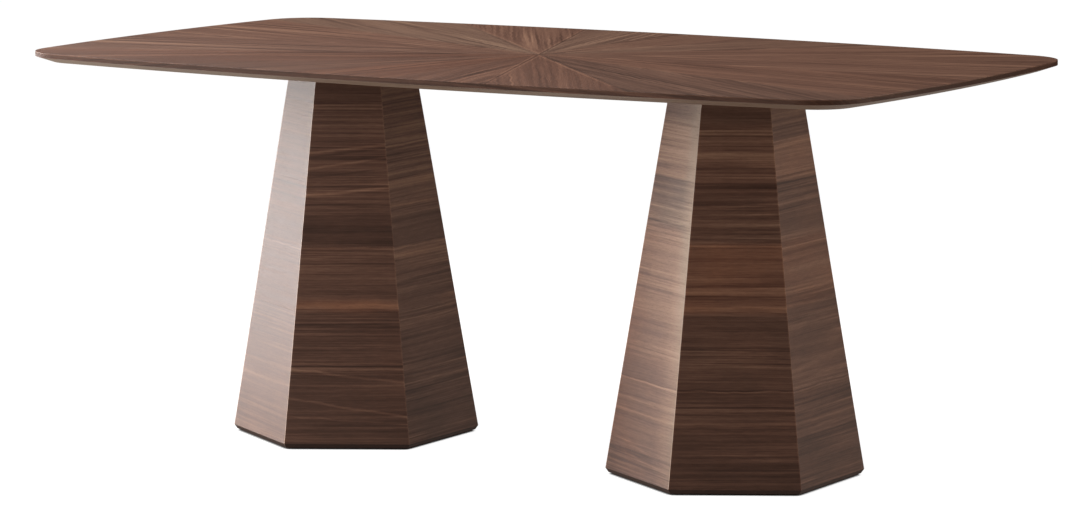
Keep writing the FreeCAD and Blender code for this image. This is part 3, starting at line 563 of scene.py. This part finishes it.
def side_material(side):
    """Stacked leaves with level grain on the six faces of one pedestal."""
    f = Formula(side + "_side_walnut")
    x, y, z = f.place()
    number, across, half_face = face_place(f, f.minus(x, AXIS[side]), y)
    down = f.times(f.minus(UNDERSIDE, z), math.sqrt(1 + LEAN * LEAN))
    mark = f.minus(down, MARK_START)
    leaf = f.math("FLOOR", f.divide(f.minus(down, FIRST_LEAF[side]), LEAF_WIDTH[side]))
    seed = f.plus(f.times(number, FACE_SEED), f.times(leaf, LEAF_SEED))
    along = f.times(across, f.mirror(number))
    tone, lines, pores = veneer_figure(f, along, down, seed)
    lit = f.same(number, LIT_FACE)
    tone = f.calmed(tone, f.times(lit, LIT_CALM[side]))
    warmth = f.swing(lines, LINE_WARMTH)
    # Bands of the stacked leaves, with painted light for each pair of faces in them
    tone, warmth = add_bands_and_painted_light(f, side, number, mark, tone, warmth)
    patch = f.field(across, down, PATCH_RATES, f.times(number, PATCH_SEED), detail=1.0)
    tone = f.plus(tone, f.swing(patch, PATCH_TONE))
    warmth = f.plus(warmth, f.swing(patch, PATCH_WARMTH))
    wave = f.swing(f.field(across, down, WAVE_RATES, f.times(number, WAVE_SEED)), WAVE)
    tone, warmth = add_streaks(f, side, number, across, f.plus(mark, wave), tone, warmth)
    # Painted sheen: a painted highlight on the face turned to the light, paler and cooler towards
    # its right edge
    painted_sheen = f.times(f.times(painted_sheen_shape(f, across, half_face, down), lit), PAINTED_SHEEN_STRENGTH[side])
    tone = f.plus(tone, painted_sheen)
    warmth = f.minus(warmth, f.times(painted_sheen, SHEEN_COOLING))
    # Painted highlight along each arris, stronger on the face turned to the light
    arris_highlight = f.ridge(f.math("ABSOLUTE", across), half_face, ARRIS_HIGHLIGHT)
    arris_highlight_tone = f.plus(f.times(lit, LIT_ARRIS_HIGHLIGHT_TONE), ARRIS_HIGHLIGHT_TONE)
    tone = f.plus(tone, f.times(arris_highlight, arris_highlight_tone))
    gloss = f.plus(f.times(f.times(arris_highlight, lit), ARRIS_GLOSS - GLOSS), GLOSS)
    return lacquer(f, walnut_colour(f, tone, pores, warmth), lines, pores, gloss=gloss)


# Rim of the top: its grain; tone of the band, from the left end rightwards; the bevel under
# it, painted lighter and cooler as a reflection of the floor, more at the left end than at
# the right one; the painted highlight along the arris above, which shows towards the ends only
LONG_SEED = 3.3
END_SEED = 5.9
GRAIN_DOWN = 0.8
RIM_ROUGHNESS = 0.50
RIM_REDNESS = 1.2
RIM_LINE_MIDDLE = 0.45
BAND_REACH = (-0.50 * LENGTH, -0.20 * LENGTH)
BAND_TONE = (-0.22, -0.40)
BEVEL_TOP = UNDERSIDE + 11 * MM
BEVEL_EDGE = 0.6 * MM
BEVEL_REFLECTION_TONE = (1.15, 0.80)
BEVEL_REFLECTION_COOLING = 1.2
RIM_ARRIS_HIGHLIGHT = (TOP - 0.8 * MM, 1.8 * MM)
RIM_HIGHLIGHT_REACH = (0.3, 0.6)
RIM_HIGHLIGHT_TONE = 0.45


def lipping_material(name, along_x):
    """Solid walnut whose grain runs along the edge, glossy and with a painted floor reflection on
    the bevel.
    """
    f = Formula(name)
    x, y, z = f.place()
    along, over, seed = (x, y, LONG_SEED) if along_x else (y, x, END_SEED)
    tone, lines, pores = veneer_figure(f, along, f.plus(over, f.times(z, GRAIN_DOWN)), seed)
    bevel = f.level(z, BEVEL_TOP - BEVEL_EDGE, BEVEL_TOP + BEVEL_EDGE, 1.0, 0.0)
    # Painted reflection of the floor on the bevel, lighter at the left end than at the right
    floor_reflection = f.level(x, -LENGTH / 2, LENGTH / 2, *BEVEL_REFLECTION_TONE)
    band = f.level(x, *BAND_REACH, *BAND_TONE)
    tone = f.total(tone, band, f.times(bevel, floor_reflection))
    # Painted highlight along the top arris, towards the ends only
    endwards = f.level(f.math("ABSOLUTE", x), *RIM_HIGHLIGHT_REACH)
    arris_highlight = f.times(f.ridge(z, *RIM_ARRIS_HIGHLIGHT), endwards)
    tone = f.plus(tone, f.times(arris_highlight, RIM_HIGHLIGHT_TONE))
    warmth = f.times(f.minus(lines, RIM_LINE_MIDDLE), RIM_REDNESS)
    # The painted floor reflection also turns the bevel cooler
    warmth = f.minus(warmth, f.times(bevel, BEVEL_REFLECTION_COOLING))
    gloss = f.level(bevel, 0.0, 1.0, RIM_GLOSS, BEVEL_GLOSS)
    colour = walnut_colour(f, tone, pores, warmth)
    return lacquer(f, colour, lines, pores, RIM_ROUGHNESS, gloss)


BACKING_SEED = 8.8
BACKING_ROUGHNESS = 0.55


def backing_material():
    f = Formula("backing_walnut")
    x, y, _ = f.place()
    tone, lines, pores = veneer_figure(f, x, y, BACKING_SEED)
    return lacquer(f, walnut_colour(f, tone, pores), lines, pores, BACKING_ROUGHNESS)


# From here on, noise has so many spots per metre of x, y and z
PLY_LAYERS = 3 * MM
PLY_GRAIN = (9.0, 320.0, 90.0)
PLY_FLECKS = (130.0, 900.0, 400.0)
PLY_SHARES = (0.7, 0.16, 0.3)


def ply_material():
    """Raw plywood: layers on the edges, long grain on the faces."""
    f = Formula("raw_plywood")
    place = f.place()
    layer = f.math("SINE", f.times(place[2], TURN / PLY_LAYERS))
    grain = f.spots(place, PLY_GRAIN, detail=3.0)
    fleck = f.spots(place, PLY_FLECKS, detail=1.0)
    parts = zip((grain, layer, fleck), PLY_SHARES)
    tone = f.total(*[f.times(part, share) for part, share in parts])
    colour = f.blend(f.level(tone, low=0.2, high=1.0), PLY_DARK, PLY_PALE)
    height = f.vary(grain, noise=fleck, share=0.4)
    f.bump(height, depth=0.08 * MM, strength=0.7)
    return f.finish(colour, f.vary(0.62, noise=grain, share=0.2))


BOARD_CHIPS = (520.0, 520.0, 900.0)
BOARD_CLOUDS = (22.0, 22.0, 22.0)


def board_material():
    """Raw board of fine pressed chips."""
    f = Formula("raw_board")
    place = f.place()
    chips = f.spots(place, BOARD_CHIPS, detail=3.0, rough=0.6)
    tone = f.vary(chips, noise=f.spots(place, BOARD_CLOUDS), share=0.4)
    colour = f.blend(f.level(tone, low=0.35, high=1.0), BOARD_DARK, BOARD_PALE)
    f.bump(chips, depth=0.1 * MM, strength=0.7)
    return f.finish(colour, f.vary(0.7, noise=chips, share=0.2))


BASE_GRAIN = (12.0, 260.0, 240.0)
BASE_WEAR = (60.0, 60.0, 60.0)
BASE_GLOSS = 0.25


def base_material():
    """Black-stained wood with a little grain in it."""
    f = Formula("black_stained_wood")
    place = f.place()
    grain = f.spots(place, BASE_GRAIN, detail=3.0)
    wear = f.spots(place, BASE_WEAR)
    colour = f.blend(f.level(grain, low=0.35, high=0.8), BASE_BLACK, WALNUT_DEEP)
    height = f.vary(grain, noise=wear, share=0.3)
    f.bump(height, depth=0.08 * MM, strength=0.7)
    rough = f.vary(0.45, noise=wear, share=0.2)
    return f.finish(colour, rough, Specular_IOR_Level=BASE_GLOSS)


METAL_PATCHES = (90.0, 90.0, 140.0)
TURNING_MARKS = (60.0, 60.0, 2700.0)


def metal_material(name, pale, dark, rough):
    """Plated metal with turning marks and faint patches."""
    f = Formula(name)
    place = f.place()
    patch = f.spots(place, METAL_PATCHES, detail=3.0)
    marks = f.spots(place, TURNING_MARKS)
    tone = f.vary(patch, noise=marks, share=0.3)
    colour = f.blend(f.level(tone, low=0.35, high=0.95), dark, pale)
    f.bump(marks, depth=0.02 * MM, strength=0.6)
    return f.finish(colour, f.vary(rough, noise=patch, share=0.2), Metallic=1.0)


COAT_PEEL = (900.0, 900.0, 900.0)
COAT_DUST_SPOTS = (40.0, 40.0, 40.0)


def coat_material():
    """Matt powder coat with its fine orange peel."""
    f = Formula("black_powder_coat")
    place = f.place()
    dust = f.spots(place, COAT_DUST_SPOTS, detail=3.0)
    dusty = f.level(dust, low=0.4, high=0.8, end=0.4)
    f.bump(f.spots(place, COAT_PEEL), depth=0.06 * MM, strength=0.8)
    colour = f.blend(dusty, COAT_BLACK, COAT_DUST)
    return f.finish(colour, f.vary(0.5, noise=dust, share=0.15))


NYLON_SKIN = (1500.0, 1500.0, 1500.0)
NYLON_DUST_SPOTS = (120.0, 120.0, 120.0)


def nylon_material():
    """Moulded nylon, a little dusty."""
    f = Formula("black_nylon")
    place = f.place()
    dust = f.spots(place, NYLON_DUST_SPOTS, detail=3.0)
    dusty = f.level(dust, low=0.45, high=0.8, end=0.5)
    f.bump(f.spots(place, NYLON_SKIN, detail=1.0), depth=0.03 * MM, strength=0.6)
    colour = f.blend(dusty, NYLON_BLACK, NYLON_DUST)
    return f.finish(colour, f.vary(0.42, noise=dust, share=0.2))


def dress_top():
    dress(sunburst_material(), "sunburst_veneer")
    dress(lipping_material("long_lipping_walnut", True), "front_lipping", "back_lipping")
    dress(lipping_material("end_lipping_walnut", False), "left_lipping", "right_lipping")
    dress(backing_material(), "backing_veneer")
    dress(board_material(), "top_core")


def dress_pedestals():
    ply = ply_material()
    board = board_material()
    base = base_material()
    coat = coat_material()
    nylon = nylon_material()
    zinc = metal_material("zinc_plate", ZINC_PALE, ZINC_DARK, rough=0.28)
    black_zinc = metal_material("black_zinc", BLACK_ZINC_PALE, BLACK_ZINC_DARK, rough=0.35)
    brass = metal_material("brass", BRASS_PALE, BRASS_DARK, rough=0.25)
    for side in ("left", "right"):
        dress(side_material(side), side + "_face_veneers")
        dress(board, *[name for name in nodes if name.startswith(side + "_panel_")])
        dress(ply, side + "_mitre_splines", side + "_former", side + "_neck_block")
        dress(base, side + "_base_plate")
        dress(coat, side + "_top_plate")
        dress(black_zinc, side + "_plate_bolts")
        dress(zinc, side + "_block_screws", side + "_foot_sleeves")
        dress(brass, side + "_top_inserts")
        for place in ("inner", "outer", "back", "front"):
            dress(nylon, "%s_foot_%s_pad" % (side, place))
            dress(zinc, "%s_foot_%s_screw" % (side, place))


# Camera, fitted to the outline of the top and the corners of the pedestals: angles in
# radians, focus and width in pixels, sensor in mm
CAMERA_AT = Vector((4.2041, -6.5920, 1.4923))
CAMERA_YAW = -0.56615
CAMERA_PITCH = 0.14257
CAMERA_ROLL = -0.00326
CAMERA_FOCUS = 4222.2
IMAGE_WIDTH = 1092
SENSOR = 36
CLIP_END = 100


def make_camera():
    data = bpy.data.cameras.new("camera")
    camera = bpy.data.objects.new("camera", data)
    bpy.context.scene.collection.objects.link(camera)
    data.sensor_fit = "HORIZONTAL"
    data.sensor_width = SENSOR
    data.lens = CAMERA_FOCUS / IMAGE_WIDTH * SENSOR
    data.clip_end = CLIP_END
    forward = Vector((
        math.sin(CAMERA_YAW) * math.cos(CAMERA_PITCH),
        math.cos(CAMERA_YAW) * math.cos(CAMERA_PITCH),
        -math.sin(CAMERA_PITCH)))
    level = Vector((math.cos(CAMERA_YAW), -math.sin(CAMERA_YAW), 0))
    upward = level.cross(forward)
    right = level * math.cos(CAMERA_ROLL) + upward * math.sin(CAMERA_ROLL)
    upward = right.cross(forward)
    turn = Matrix((right, upward, -forward)).transposed().to_4x4()
    camera.matrix_world = Matrix.Translation(CAMERA_AT) @ turn
    bpy.context.scene.camera = camera


# Floor: half its width and depth, its colour and roughness; how far off a thing casts the
# painted contact shadow, and how open it is where that shadow is black and where it is white;
# its glow for the camera; the glow and the tint with which it lights the table
FLOOR_HALF = (3.0, 2.6)
FLOOR_GREY = (0.14, 0.14, 0.14)
FLOOR_ROUGHNESS = 0.95
CONTACT_SHADOW_REACH = 0.03
CONTACT_SHADOW_EDGE = (0.15, 0.45)
FLOOR_GLOW = 1.0
FLOOR_BOUNCE = 0.33
BOUNCE_TINT = (1.0, 0.90, 0.82)
WHITE = (1.0, 1.0, 1.0)


def floor_material():
    """White for the camera, with a painted contact shadow where something stands on it, clear from
    below.
    """
    f = Formula("pale_floor")
    # Painted contact shadow: the glow darkens where something stands close over the floor
    contact_shadow = f.add("ShaderNodeAmbientOcclusion", {"Distance": CONTACT_SHADOW_REACH}).outputs["AO"]
    glow = f.add("ShaderNodeMapRange", (contact_shadow, *CONTACT_SHADOW_EDGE, 0.0, FLOOR_GLOW)).outputs[0]
    seen = f.add("ShaderNodeLightPath").outputs["Is Camera Ray"]
    light = f.add("ShaderNodeMix", {0: seen, 2: FLOOR_BOUNCE, 3: glow}).outputs[0]
    f.finish(
        FLOOR_GREY, FLOOR_ROUGHNESS, Specular_IOR_Level=0.0, Emission_Strength=light,
        Emission_Color=f.blend(seen, BOUNCE_TINT, WHITE))
    below = f.add("ShaderNodeNewGeometry").outputs["Backfacing"]
    clear = f.add("ShaderNodeBsdfTransparent").outputs[0]
    surface = f.add("ShaderNodeMixShader", (below, f.shader.outputs[0], clear)).outputs[0]
    f.feed(f.output.inputs[0], surface)
    return f.material


def make_floor():
    wide, deep = FLOOR_HALF
    mesh = bpy.data.meshes.new("floor")
    corners = [(-wide, -deep, 0), (wide, -deep, 0), (wide, deep, 0), (-wide, deep, 0)]
    mesh.from_pydata(corners, [], [(0, 1, 2, 3)])
    floor = bpy.data.objects.new("floor", mesh)
    bpy.context.scene.collection.objects.link(floor)
    mesh.materials.append(floor_material())


ROOM_COLOUR = (0.85, 0.92, 1.0)
ROOM_LIGHT = 0.005
BACKDROP_LIGHT = 1.02


def make_world():
    """Plain white behind the table, and a dim room around it."""
    world = bpy.data.worlds.new("studio")
    bpy.context.scene.world = world
    world.use_nodes = True
    tree = world.node_tree
    room = tree.nodes["Background"]
    white = tree.nodes.new("ShaderNodeBackground")
    lights = ((room, ROOM_COLOUR, ROOM_LIGHT), (white, WHITE, BACKDROP_LIGHT))
    for node, colour, strength in lights:
        node.inputs["Color"].default_value = colour + (1,)
        node.inputs["Strength"].default_value = strength
    path = tree.nodes.new("ShaderNodeLightPath")
    pick = tree.nodes.new("ShaderNodeMixShader")
    tree.links.new(path.outputs["Is Camera Ray"], pick.inputs[0])
    tree.links.new(room.outputs[0], pick.inputs[1])
    tree.links.new(white.outputs[0], pick.inputs[2])
    tree.links.new(pick.outputs[0], tree.nodes["World Output"].inputs[0])


# Lamps: place, what they are turned to, width and height in metres, watts, colour
LAMPS = {
    "left_softbox": ((-4.4, -0.3, 0.36), (0, 0, 0.45), 3.0, 0.76, 65, (1.0, 0.975, 0.965)),
    "left_key": ((-3.9, -2.0, 1.8), (0, 0, 0.5), 1.4, 1.6, 35, (1.0, 0.96, 0.92)),
    "front_key": ((-3.3, -2.7, 1.5), (0, 0, 0.5), 1.4, 1.6, 124, (1.0, 0.96, 0.92)),
    "front_fill": ((-0.8, -5.0, 1.4), (0, 0, 0.5), 2.4, 2.2, 50, (1.0, 0.92, 0.85)),
    "overhead_left": ((-1.8, 0.2, 3.0), (-0.3, 0, 0.75), 2.4, 2.4, 90, (1.0, 0.96, 0.93)),
    "overhead": ((0.6, -0.2, 3.0), (0.3, 0, 0.75), 2.4, 2.4, 41, (1.0, 0.98, 0.95)),
    "right_fill": ((4.6, -0.6, 1.4), (0.5, 0, 0.5), 2.0, 1.6, 34, (1.0, 0.92, 0.85)),
    "rear_fill": ((4.0, 2.2, 1.2), (0, 0, 0.5), 2.0, 1.6, 50, (1.0, 0.90, 0.80)),
}


def area_light(name, place, towards, width, height, power, colour):
    data = bpy.data.lights.new(name, "AREA")
    data.color = colour
    data.shape = "RECTANGLE"
    data.size = width
    data.size_y = height
    data.energy = power
    light = bpy.data.objects.new(name, data)
    bpy.context.scene.collection.objects.link(light)
    aim = (Vector(towards) - Vector(place)).to_track_quat("-Z", "Y")
    light.matrix_world = Matrix.Translation(place) @ aim.to_matrix().to_4x4()


def make_light():
    make_world()
    for name, values in LAMPS.items():
        area_light(name, *values)
    bpy.context.scene.view_settings.view_transform = "Standard"


dress_top()
dress_pedestals()
make_camera()
make_floor()
make_light()
